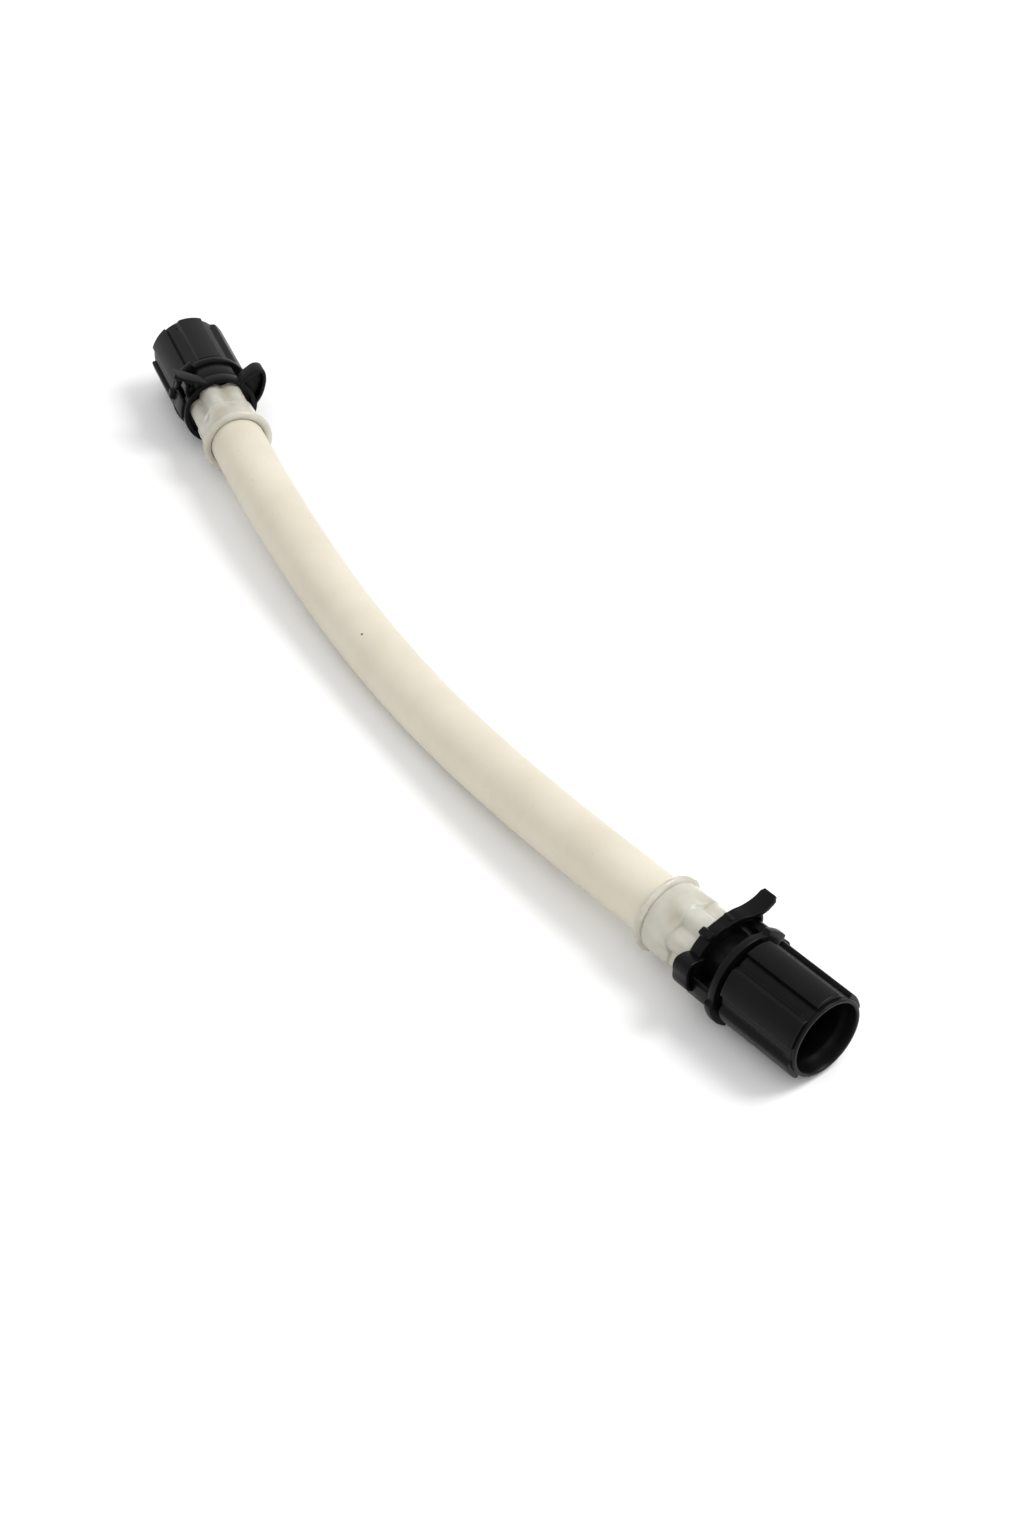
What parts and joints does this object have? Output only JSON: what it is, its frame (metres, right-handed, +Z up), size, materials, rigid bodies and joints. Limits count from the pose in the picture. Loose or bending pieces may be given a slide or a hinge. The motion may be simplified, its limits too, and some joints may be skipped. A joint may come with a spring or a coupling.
{
  "type": "pump squeeze tube",
  "caption": "Bowed elastomer peristaltic pump hose with a fluted plastic grip sleeve, clip ring and clear ferrule on each end.",
  "frame": {"origin": "middle of the footprint, on the floor that the part lies on", "axes": "+X along the line from the far fitting to the near one, +Z up, and the tube bows towards -Y"},
  "size_m": [0.343, 0.038, 0.0254],
  "materials": {
    "tube_rubber": "satin",
    "black_plastic": "satin",
    "clear_plastic": "gloss"
  },
  "bodies": {
    "hose": {"squeeze_tube": "tube_rubber", "far_tail_piece": "black_plastic", "far_clip_ring": "black_plastic", "far_ferrule": "clear_plastic", "near_tail_piece": "black_plastic", "near_clip_ring": "black_plastic", "near_ferrule": "clear_plastic"},
    "far_sleeve": {"far_grip_sleeve": "black_plastic"},
    "near_sleeve": {"near_grip_sleeve": "black_plastic"}
  },
  "joints": [
    {"name": "far_sleeve_turn", "type": "hinge", "parent": "hose", "child": "far_sleeve", "pos_m": [-0.16984, 0.00784, 0.01195], "axis": [-0.986, 0.1668, 0], "continuous": true},
    {"name": "near_sleeve_turn", "type": "hinge", "parent": "hose", "child": "near_sleeve", "pos_m": [0.16984, 0.00784, 0.01195], "axis": [0.986, 0.1668, 0], "continuous": true}
  ]
}
